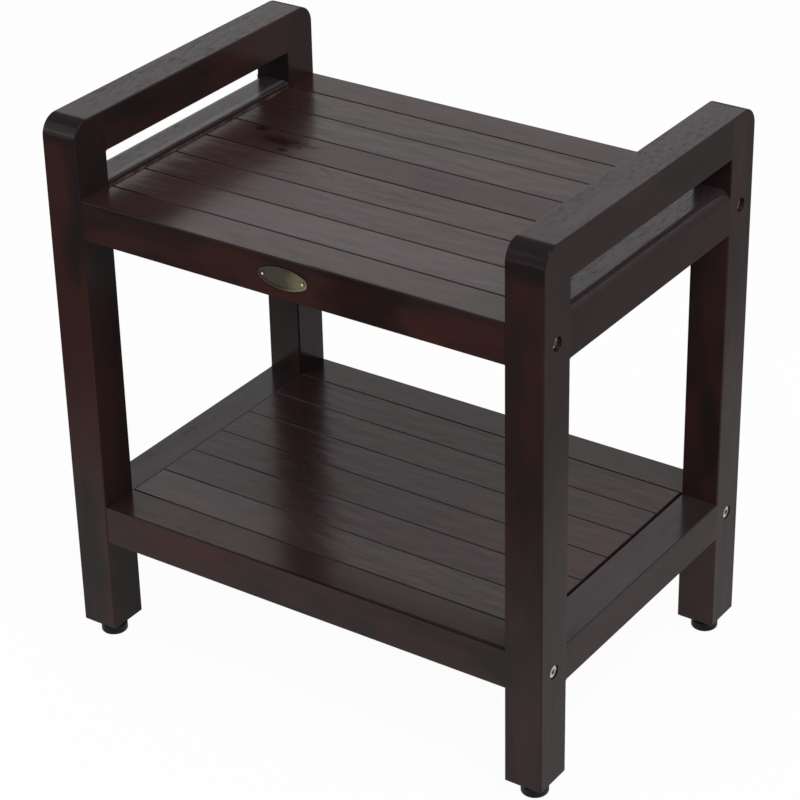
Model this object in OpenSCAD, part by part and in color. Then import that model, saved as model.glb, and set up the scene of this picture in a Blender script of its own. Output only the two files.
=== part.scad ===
// Teak shower bench with two grab arms, a slatted seat and a slatted shelf.
// Millimetres. +Z is up and -Y is the front. The origin is on the floor under the middle.
// Every piece is drawn at the right rear and mirrored to its own side and end.

/* [Overall size] */
// Width over the two side frames
bench_w = 508; // [440:1:600]
// Depth over the front and rear legs
bench_d = 347; // [300:1:400]
// Height of the seat's top above the floor
seat_z = 460.5; // [400:0.5:480]
// Height of the shelf's top above the floor
shelf_z = 150.5; // [140:0.5:220]

/* [Side frames] */
// Width of a leg, across the bench
leg_w = 37; // [36:0.5:44]
// Depth of a leg, front to back
leg_d = 40.5; // [36:0.5:44]
// Height of an arm rail
arm_h = 38; // [30:0.5:44]
// Clear height of the hand slot under an arm rail
hand_slot_h = 28.5; // [25:0.5:50]
// Height of an upper side rail
side_rail_h = 43; // [34:0.5:46]
// How far an upper side rail stands above the seat
side_rail_rise = 4; // [2:0.5:6]
// Rounding of an upper side rail's outer top edge
side_rail_round = 10; // [4:0.5:12]
// Rounding of an upper side rail's inner top edge
side_rail_in_round = 2; // [1:0.5:12]
// Height of a lower side rail
low_rail_h = 37.5; // [34:0.5:44]
// How far a lower side rail lies below the shelf's top
low_rail_drop = 1.5; // [0.5:0.5:3]
// Rounding of the outer top corner of a leg
corner_round = 18; // [10:0.5:24]
// Rounding of the frame's long edges
edge_round = 1.5; // [1:0.5:4]
// Rounding of the lower side rails' long edges
low_rail_round = 1; // [0.5:0.5:3]
// Chamfer round the foot of a leg
leg_chamfer = 2; // [0.5:0.1:3]

/* [Frame tenons] */
// Thickness of a frame rail's tenon
tenon_t = 14; // [10:0.5:15]
// Length of a frame rail's tenon
tenon_l = 11; // [8:0.5:11]
// Shoulder above and below a frame rail's tenon
tenon_shoulder = 8; // [7:0.5:10]
// Clearance round a tenon in its mortise
tenon_fit = 0.1; // [0.05:0.05:0.3]
// Room past a tenon's end
tenon_end_gap = 0.5; // [0.3:0.1:1]

/* [Panels] */
// How far the panel rails stand back from the leg faces
panel_recess = 1; // [0.5:0.5:3]
// Depth of a panel rail, front to back
panel_rail_d = 39; // [32:0.5:40]
// Height of a seat rail
seat_rail_h = 38; // [38:0.5:46]
// Height of a shelf rail
shelf_rail_h = 38.5; // [37:0.5:46]
// Rounding of a panel rail's outer top edge
rail_top_round = 1.2; // [0.6:0.2:6]
// Rounding of a panel rail's outer lower edge
rail_low_round = 1; // [0.5:0.5:4]
// Groove between neighbouring seat slats
slat_gap = 1; // [0.8:0.1:3]
// Groove between neighbouring shelf slats
shelf_slat_gap = 0.6; // [0.5:0.1:3]
// Thickness of a slat
slat_t = 12; // [11:0.5:13]
// Gap between a slat's end and the side frame
slat_end_gap = 1.5; // [1:0.1:3]
// Rounding of the slats' long top edges
slat_round = 0.8; // [0.5:0.1:2]
// Rounding along the top of the seat slats' ends
seat_end_round = 2.5; // [0.5:0.1:4]
// Rounding along the top of the shelf slats' ends
shelf_end_round = 0.8; // [0.5:0.1:4]

/* [Battens] */
// Width of a batten
batten_w = 28; // [24:0.5:32]
// Height of a batten
batten_h = 20; // [18:0.5:21]
// Distance from a slat's end to the middle of the outer batten
batten_inset = 50; // [49:0.5:70]
// Length of a batten's stub tenon
stub_l = 8; // [6:0.5:8]
// Shoulder all round a batten's stub tenon
stub_shoulder = 4; // [3:0.5:5]
// Rounding of a batten's lower edges
batten_round = 1.5; // [0.5:0.5:3]

/* [Frame bolts] */
// Diameter of a frame bolt
bolt_d = 6; // [5:0.5:6]
// Length of a frame bolt under its head
bolt_l = 60; // [58:1:62]
// Diameter of a bolt head
bolt_head_d = 12; // [10:0.5:12]
// Height of a bolt head
bolt_head_h = 4.5; // [4:0.5:5]
// Rounding of a bolt head's rim
bolt_head_round = 0.6; // [0.3:0.1:1]
// Width across the flats of the hex socket
bolt_socket_af = 5; // [4:0.5:6]
// Depth of the hex socket
bolt_socket_depth = 3; // [2:0.5:3]
// Clearance round a bolt's shank in the wood
bolt_clear = 0.3; // [0.2:0.05:0.4]
// Clearance round a bolt's head in its recess
head_clear = 0.5; // [0.3:0.1:0.7]
// How deep the seat bolts' heads lie below the leg's face
seat_head_sink = 3; // [2:0.5:5]
// How deep the shelf bolts' heads lie below the leg's face
shelf_head_sink = 1.2; // [0.5:0.1:3]
// How far the seat bolts lie above the seat rails' middle
seat_bolt_rise = 2; // [0:0.5:2.5]
// Diameter of a barrel nut
nut_d = 10; // [9:0.5:11]
// Length of a barrel nut
nut_l = 18; // [14:0.5:19]
// Distance from a panel rail's end to the middle of its barrel nut
nut_inset = 23; // [22:0.5:24]
// Width of the screwdriver slot in a barrel nut
nut_slot_w = 1.2; // [0.8:0.1:1.6]
// Depth of the screwdriver slot in a barrel nut
nut_slot_depth = 1.5; // [1:0.1:2]
// Room past a bolt's tip
bolt_tip_gap = 2.5; // [1:0.5:3]

/* [Dowels and screws] */
// Diameter of a dowel
dowel_d = 8; // [6:0.5:8]
// Length of a dowel
dowel_l = 30; // [24:1:30]
// Distance of a dowel below its frame bolt
dowel_drop = 12.5; // [12:0.5:13]
// Room past a dowel's end in the rail
dowel_end_gap = 0.8; // [0.3:0.1:1]
// Chamfer on a dowel's ends
dowel_chamfer = 0.8; // [0.4:0.1:1.2]
// Diameter of a slat screw
screw_d = 4; // [3:0.5:4]
// Length of a slat screw under its head
screw_l = 24; // [20:0.5:25]
// Diameter of a slat screw's head
screw_head_d = 8; // [6:0.2:8]
// Height of a slat screw's head
screw_head_h = 2.4; // [1.8:0.1:3]
// How deep a slat screw's head lies below the batten's face
screw_head_sink = 1.2; // [0.5:0.1:2]
// Length of a slat screw's point
screw_tip_l = 3; // [2:0.5:4]
// Width of a slat screw's cross recess
cross_w = 1; // [0.8:0.1:1.2]
// Span of a slat screw's cross recess
cross_span = 4; // [3:0.5:4.5]
// Depth of a slat screw's cross recess
cross_depth = 1.2; // [0.8:0.1:1.4]
// Close clearance round dowels, screws, nuts, inserts and pins
close_fit = 0.05; // [0.03:0.01:0.1]

/* [Feet] */
// Diameter of a foot pad
pad_d = 25; // [20:0.5:30]
// Height of a foot pad
pad_h = 9; // [7:0.5:12]
// Rounding of a foot pad's lower edge
pad_low_round = 2; // [1:0.5:3]
// Rounding of a foot pad's upper edge
pad_top_round = 1; // [0.5:0.5:2]
// Depth of the stud's socket in its pad
pad_socket_depth = 5; // [3:0.5:5]
// Length of stud that shows between the pad and the leg
stud_show = 6; // [4:0.5:10]
// Diameter of a foot stud
stud_d = 8; // [6:0.5:8]
// Length of stud inside the leg
stud_in_leg = 18; // [14:0.5:22]
// Chamfer on a stud's upper end
stud_chamfer = 1; // [0.5:0.1:1.5]
// Running clearance round a stud
stud_clear = 0.05; // [0.03:0.01:0.1]
// Outside diameter of a leg insert
insert_d = 11; // [10.5:0.5:13]
// Length of a leg insert
insert_l = 15; // [12:0.5:18]
// Diameter of a leg insert's flange
insert_flange_d = 15; // [14:0.5:18]
// Thickness of a leg insert's flange
insert_flange_t = 1.2; // [0.8:0.1:2]
// Diameter of the clear hole above a leg insert
stud_hole_d = 9.2; // [8.6:0.2:10]
// Depth of the clear hole above the leg's foot
stud_hole_depth = 30; // [28:0.5:36]

/* [Plate] */
// Distance of the oval plate's middle from the bench's middle
plate_x = 0; // [-60:0.5:60]
// Height of the oval plate's middle above the middle of the rail's face
plate_rise = 1; // [-6:0.5:6]
// Width of the plate
plate_w = 50; // [44:0.5:56]
// Height of the plate
plate_h = 20; // [18:0.5:22]
// Radius of the plate's ends
plate_end_r = 5.5; // [4:0.5:6.5]
// Thickness of the plate's field
plate_t = 0.7; // [0.5:0.1:0.8]
// Height of the plate's rim and bead above its field
plate_rim_t = 0.4; // [0.2:0.1:0.5]
// Width of the plate's rim
plate_rim_w = 1; // [0.8:0.1:1.5]
// Gap between the plate's rim and its inner bead
plate_bead_gap = 0.6; // [0.4:0.1:1]
// Width of the plate's inner bead
plate_bead_w = 0.4; // [0.3:0.1:0.8]
// Distance of a plate pin from the plate's middle
pin_reach = 20.5; // [15:0.5:21]
// Diameter of a plate pin
pin_d = 1.8; // [1.4:0.1:2]
// Length of a plate pin under its head
pin_l = 9; // [6:0.5:12]
// Diameter of a plate pin's head
pin_head_d = 2.8; // [2.4:0.1:3]
// Height of a plate pin's head
pin_head_h = 0.7; // [0.5:0.1:0.7]

/* [Hidden] */
// Roundness of large, medium and small round features
fn_large = 64;
fn_mid = 32;
fn_small = 16;
// Overrun of a cut past the face that it opens
over = 1;
right_angle = 90;

// Side is left or right along X, and end is front or rear along Y
left = -1;
right = 1;
front = -1;
rear = 1;
sides = [left, right];
ends = [front, rear];

// Heights
leg_z0 = pad_h + stud_show;
side_rail_top = seat_z + side_rail_rise;
side_rail_z0 = side_rail_top - side_rail_h;
arm_z0 = side_rail_top + hand_slot_h;
bench_h = arm_z0 + arm_h;
low_rail_top = shelf_z - low_rail_drop;
low_rail_z0 = low_rail_top - low_rail_h;

// Side frame planes, on the right and at the rear
frame_in_x = bench_w / 2 - leg_w;
leg_mid_x = bench_w / 2 - leg_w / 2;
leg_in_y = bench_d / 2 - leg_d;
leg_mid_y = bench_d / 2 - leg_d / 2;
corner_y = bench_d / 2 - corner_round;
corner_z = bench_h - corner_round;

// Panels
rail_out_y = bench_d / 2 - panel_recess;
rail_in_y = rail_out_y - panel_rail_d;
panel_rail_l = 2 * frame_in_x;
slat_count = 6;
slat_l = panel_rail_l - 2 * slat_end_gap;
seat_slat_w = (2 * rail_in_y - (slat_count + 1) * slat_gap) / slat_count;
slat_pitch = seat_slat_w + slat_gap;
shelf_slat_w = slat_pitch - shelf_slat_gap;
slat_ys = [for (i = [0:slat_count - 1]) (i - (slat_count - 1) / 2) * slat_pitch];

// Battens, from left to right
batten_reach = slat_l / 2 - batten_inset;
batten_xs = [-batten_reach, 0, batten_reach];
stub_w = batten_w - 2 * stub_shoulder;
stub_h = batten_h - 2 * stub_shoulder;

// Frame bolts, at the seat's level and the shelf's
seat_level = 0;
shelf_level = 1;
levels = [seat_level, shelf_level];
seat_bolt_z = seat_z - seat_rail_h / 2 + seat_bolt_rise;
shelf_bolt_z = shelf_z - shelf_rail_h / 2;
bolt_zs = [seat_bolt_z, shelf_bolt_z];
seat_seat_x = bench_w / 2 - seat_head_sink - bolt_head_h;
shelf_seat_x = bench_w / 2 - shelf_head_sink - bolt_head_h;
bolt_seat_xs = [seat_seat_x, shelf_seat_x];
recess_d = bolt_head_d + 2 * head_clear;
bolt_hole_d = bolt_d + 2 * bolt_clear;
nut_x = frame_in_x - nut_inset;
dowel_in_leg = dowel_l / 2;

// Slat screws
screw_seat_h = screw_head_sink + screw_head_h;

// Feet
stud_z0 = pad_h - pad_socket_depth;
stud_l = pad_socket_depth + stud_show + stud_in_leg;

// Oval plate on the front of the seat front rail
plate_z = seat_z - seat_rail_h / 2 + plate_rise;
plate_end_x = plate_w / 2 - plate_end_r;
plate_side_r = (pow(plate_end_x, 2) + pow(plate_h / 2, 2) - pow(plate_end_r, 2))
    / (plate_h - 2 * plate_end_r);
bead_inset = plate_rim_w + plate_bead_gap;
pin_xs = [plate_x - pin_reach, plate_x + pin_reach];

wood = "#563a34";
pale_wood = "#c9a877";
steel = "#b9b6ae";
brass = "#a8935c";
dark_rubber = "#2e2d2c";

// Places its children, drawn at the right rear, at one side and end
module at_corner(side, end) {
    mirror([side == left ? 1 : 0, 0, 0])
        mirror([0, end == front ? 1 : 0, 0])
            children();
}

// Places its children, drawn at the right, at one side
module at_side(side) {
    mirror([side == left ? 1 : 0, 0, 0])
        children();
}

// Waste outside a rounded corner at the origin, with the wood towards -X and -Y
module corner_waste(r) {
    difference() {
        translate([-r, -r])
            square(r + over);
        translate([-r, -r])
            circle(r, $fn = fn_large);
    }
}

// Rectangle from the origin with its own rounding at each corner
module rounded_board(w, h, low_left, low_right, top_right, top_left) {
    difference() {
        square([w, h]);
        mirror([1, 0]) mirror([0, 1]) corner_waste(low_left);
        translate([w, 0]) mirror([0, 1]) corner_waste(low_right);
        translate([w, h]) corner_waste(top_right);
        translate([0, h]) mirror([1, 0]) corner_waste(top_left);
    }
}

// Turns a section drawn in X and Z into a bar along Y, from -l / 2 to l / 2
module bar_along_y(l) {
    translate([0, l / 2, 0])
        rotate([right_angle, 0, 0])
            linear_extrude(l)
                children();
}

// Turns a section drawn in Y and Z into a bar along X, from -l / 2 to l / 2
module bar_along_x(l) {
    translate([-l / 2, 0, 0])
        rotate([right_angle, 0, right_angle])
            linear_extrude(l)
                children();
}

// Round bar along +X from the origin
module rod_x(d, l, fn) {
    rotate([0, right_angle, 0])
        cylinder(d = d, h = l, $fn = fn);
}

/* ---- Legs ---- */

// Leg below its rounded top, with both outer edges rounded
module leg_shaft() {
    translate([frame_in_x, leg_in_y, leg_z0])
        linear_extrude(corner_z - leg_z0)
            rounded_board(leg_w, leg_d, 0, 0, edge_round, edge_round);
}

// Inner part of a leg's top, which carries on the arm rail's section
module leg_crown() {
    translate([frame_in_x, corner_y, corner_z])
        rotate([right_angle, 0, 0])
            linear_extrude(corner_y - leg_in_y)
                rounded_board(leg_w, corner_round, 0, 0, edge_round, edge_round);
}

// Outer top corner of a leg: a quarter turn about a line along X
module leg_corner() {
    translate([frame_in_x, corner_y, corner_z])
        rotate([right_angle, 0, right_angle])
            rotate_extrude(angle = right_angle, $fn = fn_large)
                difference() {
                    square([corner_round, leg_w]);
                    translate([corner_round, 0]) mirror([0, 1]) corner_waste(edge_round);
                    translate([corner_round, leg_w]) corner_waste(edge_round);
                }
}

// Waste of the two inner edges' roundings between two heights
module inner_edge_waste(z0, z1) {
    translate([frame_in_x, leg_in_y, z0])
        linear_extrude(z1 - z0) {
            mirror([1, 0]) mirror([0, 1]) corner_waste(edge_round);
            translate([leg_w, 0]) mirror([0, 1]) corner_waste(edge_round);
        }
}

// Chamfers round the foot of a leg
module foot_chamfers() {
    half_diagonal = leg_chamfer / sqrt(2);
    cut = 2 * half_diagonal;
    for (x = [frame_in_x, bench_w / 2])
        translate([x, leg_mid_y, leg_z0])
            rotate([0, right_angle / 2, 0])
                cube([cut, leg_d + 2 * over, cut], center = true);
    for (y = [leg_in_y, bench_d / 2])
        translate([leg_mid_x, y, leg_z0])
            rotate([right_angle / 2, 0, 0])
                cube([leg_w + 2 * over, cut, cut], center = true);
}

// Mortise for the tenon of a frame rail between two heights
module frame_mortise(z0, z1) {
    w = tenon_t + 2 * tenon_fit;
    translate([leg_mid_x - w / 2, leg_in_y - over, z0 + tenon_shoulder - tenon_fit])
        cube([w, over + tenon_l + tenon_end_gap, z1 - z0 - 2 * (tenon_shoulder - tenon_fit)]);
}

// Bolt hole, head recess and dowel hole of one panel rail in a leg
module leg_bolt_holes(level) {
    z = bolt_zs[level];
    seat_x = bolt_seat_xs[level];
    translate([frame_in_x - over, leg_mid_y, z])
        rod_x(bolt_hole_d, leg_w + 2 * over, fn_mid);
    translate([seat_x, leg_mid_y, z])
        rod_x(recess_d, leg_w, fn_large);
    translate([frame_in_x - over, leg_mid_y, z - dowel_drop])
        rod_x(dowel_d + 2 * close_fit, over + dowel_in_leg, fn_mid);
}

// Holes for the insert and its stud in the foot of a leg
module leg_foot_holes() {
    translate([leg_mid_x, leg_mid_y, leg_z0 - over]) {
        cylinder(d = insert_flange_d + 2 * close_fit, h = over + insert_flange_t, $fn = fn_mid);
        cylinder(d = insert_d + 2 * close_fit, h = over + insert_l, $fn = fn_mid);
        cylinder(d = stud_hole_d, h = over + stud_hole_depth, $fn = fn_mid);
    }
}

module leg(side, end) {
    color(wood)
        at_corner(side, end)
            difference() {
                union() {
                    leg_shaft();
                    leg_crown();
                    leg_corner();
                }
                inner_edge_waste(leg_z0 - over, low_rail_z0);
                inner_edge_waste(low_rail_top, side_rail_z0);
                inner_edge_waste(side_rail_top, arm_z0);
                foot_chamfers();
                frame_mortise(low_rail_z0, low_rail_top);
                frame_mortise(side_rail_z0, side_rail_top);
                frame_mortise(arm_z0, bench_h);
                for (level = levels)
                    leg_bolt_holes(level);
                leg_foot_holes();
            }
}

module leg_front_left() leg(left, front);
module leg_front_right() leg(right, front);
module leg_rear_left() leg(left, rear);
module leg_rear_right() leg(right, rear);

/* ---- Side frame rails ---- */

// Frame rail with tenons. Its children are its section, inner face first.
module frame_rail(side, z0, h) {
    color(wood)
        at_side(side) {
            translate([frame_in_x, 0, z0])
                bar_along_y(2 * leg_in_y)
                    children();
            translate([leg_mid_x - tenon_t / 2, -leg_in_y - tenon_l, z0 + tenon_shoulder])
                cube([tenon_t, 2 * (leg_in_y + tenon_l), h - 2 * tenon_shoulder]);
        }
}

module arm_rail(side) {
    frame_rail(side, arm_z0, arm_h)
        rounded_board(leg_w, arm_h, edge_round, edge_round, edge_round, edge_round);
}

module side_rail(side) {
    frame_rail(side, side_rail_z0, side_rail_h)
        rounded_board(leg_w, side_rail_h,
            low_rail_round, low_rail_round, side_rail_round, side_rail_in_round);
}

module lower_side_rail(side) {
    frame_rail(side, low_rail_z0, low_rail_h)
        rounded_board(leg_w, low_rail_h, low_rail_round, low_rail_round, low_rail_round, low_rail_round);
}

module arm_rail_left() arm_rail(left);
module arm_rail_right() arm_rail(right);
module side_rail_left() side_rail(left);
module side_rail_right() side_rail(right);
module lower_side_rail_left() lower_side_rail(left);
module lower_side_rail_right() lower_side_rail(right);

/* ---- Panel rails ---- */

// Bolt hole, barrel nut hole and dowel hole in the right end of a panel rail
module rail_end_holes(level) {
    z = bolt_zs[level];
    tip_x = bolt_seat_xs[level] - bolt_l - bolt_tip_gap;
    translate([tip_x, leg_mid_y, z])
        rod_x(bolt_hole_d, frame_in_x + over - tip_x, fn_mid);
    translate([nut_x, leg_mid_y, 0])
        cylinder(d = nut_d + 2 * close_fit, h = z + nut_l / 2, $fn = fn_mid);
    translate([frame_in_x - dowel_l + dowel_in_leg - dowel_end_gap, leg_mid_y, z - dowel_drop])
        rod_x(dowel_d + 2 * close_fit, dowel_l, fn_mid);
}

// Mortises for the battens' stub tenons in the inner face of a panel rail
module stub_mortises(top_z) {
    w = stub_w + 2 * tenon_fit;
    for (x = batten_xs)
        translate([x - w / 2, rail_in_y - over, top_z - slat_t - batten_h + stub_shoulder - tenon_fit])
            cube([w, over + stub_l + tenon_end_gap, stub_h + 2 * tenon_fit]);
}

// Section of a panel rail, inner face first
module panel_rail_section(h) {
    rounded_board(panel_rail_d, h, slat_round, rail_low_round, rail_top_round, slat_round);
}

module panel_rail(end, top_z, h, level) {
    color(wood)
        mirror([0, end == front ? 1 : 0, 0])
            difference() {
                translate([0, rail_in_y, top_z - h])
                    bar_along_x(panel_rail_l)
                        panel_rail_section(h);
                for (side = sides)
                    at_side(side)
                        rail_end_holes(level);
                stub_mortises(top_z);
            }
}

// Pilot holes for the plate's pins
module pin_holes() {
    for (x = pin_xs)
        translate([x, -rail_out_y + pin_l - plate_t, plate_z])
            rotate([right_angle, 0, 0])
                cylinder(d = pin_d + 2 * close_fit, h = pin_l + over, $fn = fn_small);
}

module seat_front_rail() {
    color(wood)
        difference() {
            panel_rail(front, seat_z, seat_rail_h, seat_level);
            pin_holes();
        }
}

module seat_rear_rail() panel_rail(rear, seat_z, seat_rail_h, seat_level);
module shelf_front_rail() panel_rail(front, shelf_z, shelf_rail_h, shelf_level);
module shelf_rear_rail() panel_rail(rear, shelf_z, shelf_rail_h, shelf_level);

/* ---- Slats and battens ---- */

// Straight pilot holes up into a slat's underside
module slat_pilots(y, top_z) {
    batten_z0 = top_z - slat_t - batten_h;
    for (x = batten_xs)
        translate([x, y, batten_z0])
            cylinder(d = screw_d + 2 * close_fit, h = screw_seat_h + screw_l, $fn = fn_small);
}

// Slats are numbered from the front
module slat(number, slat_w, top_z, end_round) {
    y = slat_ys[number - 1];
    color(wood)
        difference() {
            translate([0, y - slat_w / 2, top_z - slat_t])
                bar_along_x(slat_l)
                    rounded_board(slat_w, slat_t, 0, 0, slat_round, slat_round);
            slat_pilots(y, top_z);
            for (side = sides)
                at_side(side)
                    translate([slat_l / 2, y, top_z])
                        bar_along_y(slat_w + 2 * over)
                            corner_waste(end_round);
        }
}

module seat_slat_1() slat(1, seat_slat_w, seat_z, seat_end_round);
module seat_slat_2() slat(2, seat_slat_w, seat_z, seat_end_round);
module seat_slat_3() slat(3, seat_slat_w, seat_z, seat_end_round);
module seat_slat_4() slat(4, seat_slat_w, seat_z, seat_end_round);
module seat_slat_5() slat(5, seat_slat_w, seat_z, seat_end_round);
module seat_slat_6() slat(6, seat_slat_w, seat_z, seat_end_round);
module shelf_slat_1() slat(1, shelf_slat_w, shelf_z, shelf_end_round);
module shelf_slat_2() slat(2, shelf_slat_w, shelf_z, shelf_end_round);
module shelf_slat_3() slat(3, shelf_slat_w, shelf_z, shelf_end_round);
module shelf_slat_4() slat(4, shelf_slat_w, shelf_z, shelf_end_round);
module shelf_slat_5() slat(5, shelf_slat_w, shelf_z, shelf_end_round);
module shelf_slat_6() slat(6, shelf_slat_w, shelf_z, shelf_end_round);

// Clearance holes and head recesses for the slat screws in a batten
module batten_screw_holes(batten_z0) {
    for (y = slat_ys)
        translate([0, y, batten_z0 - over]) {
            cylinder(d = screw_d + 2 * close_fit, h = batten_h + 2 * over, $fn = fn_small);
            cylinder(d = screw_head_d + 2 * head_clear, h = over + screw_seat_h, $fn = fn_mid);
        }
}

// Battens are numbered from the left
module batten(number, top_z) {
    batten_z0 = top_z - slat_t - batten_h;
    stub_reach = rail_in_y + stub_l;
    color(wood)
        translate([batten_xs[number - 1], 0, 0])
            difference() {
                union() {
                    translate([-batten_w / 2, 0, batten_z0])
                        bar_along_y(2 * rail_in_y)
                            rounded_board(batten_w, batten_h, batten_round, batten_round, 0, 0);
                    translate([-stub_w / 2, -stub_reach, batten_z0 + stub_shoulder])
                        cube([stub_w, 2 * stub_reach, stub_h]);
                }
                batten_screw_holes(batten_z0);
            }
}

module seat_batten_left() batten(1, seat_z);
module seat_batten_middle() batten(2, seat_z);
module seat_batten_right() batten(3, seat_z);
module shelf_batten_left() batten(1, shelf_z);
module shelf_batten_middle() batten(2, shelf_z);
module shelf_batten_right() batten(3, shelf_z);

/* ---- Fasteners ---- */

// Frame bolt along X with its head's flat underside at the origin and its shank towards -X
module frame_bolt() {
    socket_d = bolt_socket_af / cos(right_angle / 3);
    difference() {
        union() {
            rotate([0, right_angle, 0])
                rotate_extrude($fn = fn_mid)
                    difference() {
                        square([bolt_head_d / 2, bolt_head_h]);
                        translate([bolt_head_d / 2, bolt_head_h]) corner_waste(bolt_head_round);
                    }
            translate([-bolt_l, 0, 0])
                rod_x(bolt_d, bolt_l, fn_mid);
        }
        translate([bolt_head_h - bolt_socket_depth, 0, 0])
            rod_x(socket_d, bolt_socket_depth + over, 6);
    }
}

module frame_bolts() {
    color(steel)
        for (side = sides, end = ends, level = levels)
            at_corner(side, end)
                translate([bolt_seat_xs[level], leg_mid_y, bolt_zs[level]])
                    frame_bolt();
}

// Barrel nut standing on its slotted end, with its bolt hole along X at the origin
module barrel_nut() {
    difference() {
        translate([0, 0, -nut_l / 2])
            cylinder(d = nut_d, h = nut_l, $fn = fn_mid);
        translate([-nut_d, 0, 0])
            rod_x(bolt_d + 2 * close_fit, 2 * nut_d, fn_mid);
        translate([0, 0, -nut_l / 2])
            cube([2 * nut_d, nut_slot_w, 2 * nut_slot_depth], center = true);
    }
}

module barrel_nuts() {
    color(steel)
        for (side = sides, end = ends, level = levels)
            at_corner(side, end)
                translate([nut_x, leg_mid_y, bolt_zs[level]])
                    barrel_nut();
}

// Dowel along +X from the origin with chamfered ends
module dowel() {
    rotate([0, right_angle, 0])
        rotate_extrude($fn = fn_mid)
            polygon([
                [0, 0], [dowel_d / 2 - dowel_chamfer, 0], [dowel_d / 2, dowel_chamfer],
                [dowel_d / 2, dowel_l - dowel_chamfer], [dowel_d / 2 - dowel_chamfer, dowel_l], [0, dowel_l]
            ]);
}

module rail_dowels() {
    color(pale_wood)
        for (side = sides, end = ends, level = levels)
            at_corner(side, end)
                translate([frame_in_x + dowel_in_leg - dowel_l, leg_mid_y, bolt_zs[level] - dowel_drop])
                    dowel();
}

// Slat screw standing point up, with its head's flat underside at the origin
module slat_screw() {
    difference() {
        union() {
            translate([0, 0, -screw_head_h])
                cylinder(d = screw_head_d, h = screw_head_h, $fn = fn_small);
            cylinder(d = screw_d, h = screw_l - screw_tip_l, $fn = fn_small);
            translate([0, 0, screw_l - screw_tip_l])
                cylinder(d1 = screw_d, d2 = 0, h = screw_tip_l, $fn = fn_small);
        }
        for (turn = [0, right_angle])
            translate([0, 0, -screw_head_h])
                rotate(turn)
                    cube([cross_span, cross_w, 2 * cross_depth], center = true);
    }
}

module slat_screws(top_z) {
    batten_z0 = top_z - slat_t - batten_h;
    color(steel)
        for (x = batten_xs, y = slat_ys)
            translate([x, y, batten_z0 + screw_seat_h])
                slat_screw();
}

module seat_slat_screws() slat_screws(seat_z);
module shelf_slat_screws() slat_screws(shelf_z);

/* ---- Feet ---- */

// Threaded sleeve with a flange, let into the foot of each leg
module leg_insert() {
    difference() {
        union() {
            cylinder(d = insert_flange_d, h = insert_flange_t, $fn = fn_mid);
            cylinder(d = insert_d, h = insert_l, $fn = fn_mid);
        }
        translate([0, 0, -over])
            cylinder(d = stud_d + 2 * stud_clear, h = insert_l + 2 * over, $fn = fn_mid);
    }
}

module leg_inserts() {
    color(steel)
        for (side = sides, end = ends)
            at_corner(side, end)
                translate([leg_mid_x, leg_mid_y, leg_z0])
                    leg_insert();
}

module foot_stud(side, end) {
    color(steel)
        at_corner(side, end)
            translate([leg_mid_x, leg_mid_y, stud_z0])
                rotate_extrude($fn = fn_mid)
                    polygon([
                        [0, 0], [stud_d / 2, 0], [stud_d / 2, stud_l - stud_chamfer],
                        [stud_d / 2 - stud_chamfer, stud_l], [0, stud_l]
                    ]);
}

module foot_pad(side, end) {
    color(dark_rubber)
        at_corner(side, end)
            translate([leg_mid_x, leg_mid_y, 0])
                difference() {
                    rotate_extrude($fn = fn_large)
                        difference() {
                            square([pad_d / 2, pad_h]);
                            translate([pad_d / 2, 0]) mirror([0, 1]) corner_waste(pad_low_round);
                            translate([pad_d / 2, pad_h]) corner_waste(pad_top_round);
                        }
                    translate([0, 0, stud_z0])
                        cylinder(d = stud_d + 2 * stud_clear, h = pad_h, $fn = fn_mid);
                }
}

module foot_stud_front_left() foot_stud(left, front);
module foot_stud_front_right() foot_stud(right, front);
module foot_stud_rear_left() foot_stud(left, rear);
module foot_stud_rear_right() foot_stud(right, rear);
module foot_pad_front_left() foot_pad(left, front);
module foot_pad_front_right() foot_pad(right, front);
module foot_pad_rear_left() foot_pad(left, rear);
module foot_pad_rear_right() foot_pad(right, rear);

/* ---- Plate ---- */

// Oval of four tangent arcs, taken in by an inset
module oval(inset) {
    arc_r = plate_side_r - inset;
    end_r = plate_end_r - inset;
    arc_drop = plate_side_r - plate_h / 2;
    tangent_x = plate_end_x * arc_r / (plate_side_r - plate_end_r);
    intersection() {
        translate([0, arc_drop]) circle(arc_r, $fn = 4 * fn_large);
        translate([0, -arc_drop]) circle(arc_r, $fn = 4 * fn_large);
        square([2 * tangent_x, plate_h], center = true);
    }
    for (side = sides)
        translate([side * plate_end_x, 0])
            circle(end_r, $fn = fn_large);
}

module plate_band(outer, inner) {
    translate([0, 0, plate_t])
        linear_extrude(plate_rim_t)
            difference() {
                oval(outer);
                oval(inner);
            }
}

module badge_plate() {
    color(brass)
        translate([plate_x, -rail_out_y, plate_z])
            rotate([right_angle, 0, 0])
                difference() {
                    union() {
                        linear_extrude(plate_t) oval(0);
                        plate_band(0, plate_rim_w);
                        plate_band(bead_inset, bead_inset + plate_bead_w);
                    }
                    for (side = sides)
                        translate([side * pin_reach, 0, -over])
                            cylinder(d = pin_d + 2 * close_fit, h = plate_t + 2 * over, $fn = fn_small);
                }
}

module badge_pins() {
    color(brass)
        for (x = pin_xs)
            translate([x, -rail_out_y - plate_t, plate_z])
                rotate([right_angle, 0, 0]) {
                    cylinder(d = pin_head_d, h = pin_head_h, $fn = fn_mid);
                    translate([0, 0, -pin_l])
                        cylinder(d = pin_d, h = pin_l, $fn = fn_small);
                }
}

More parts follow.
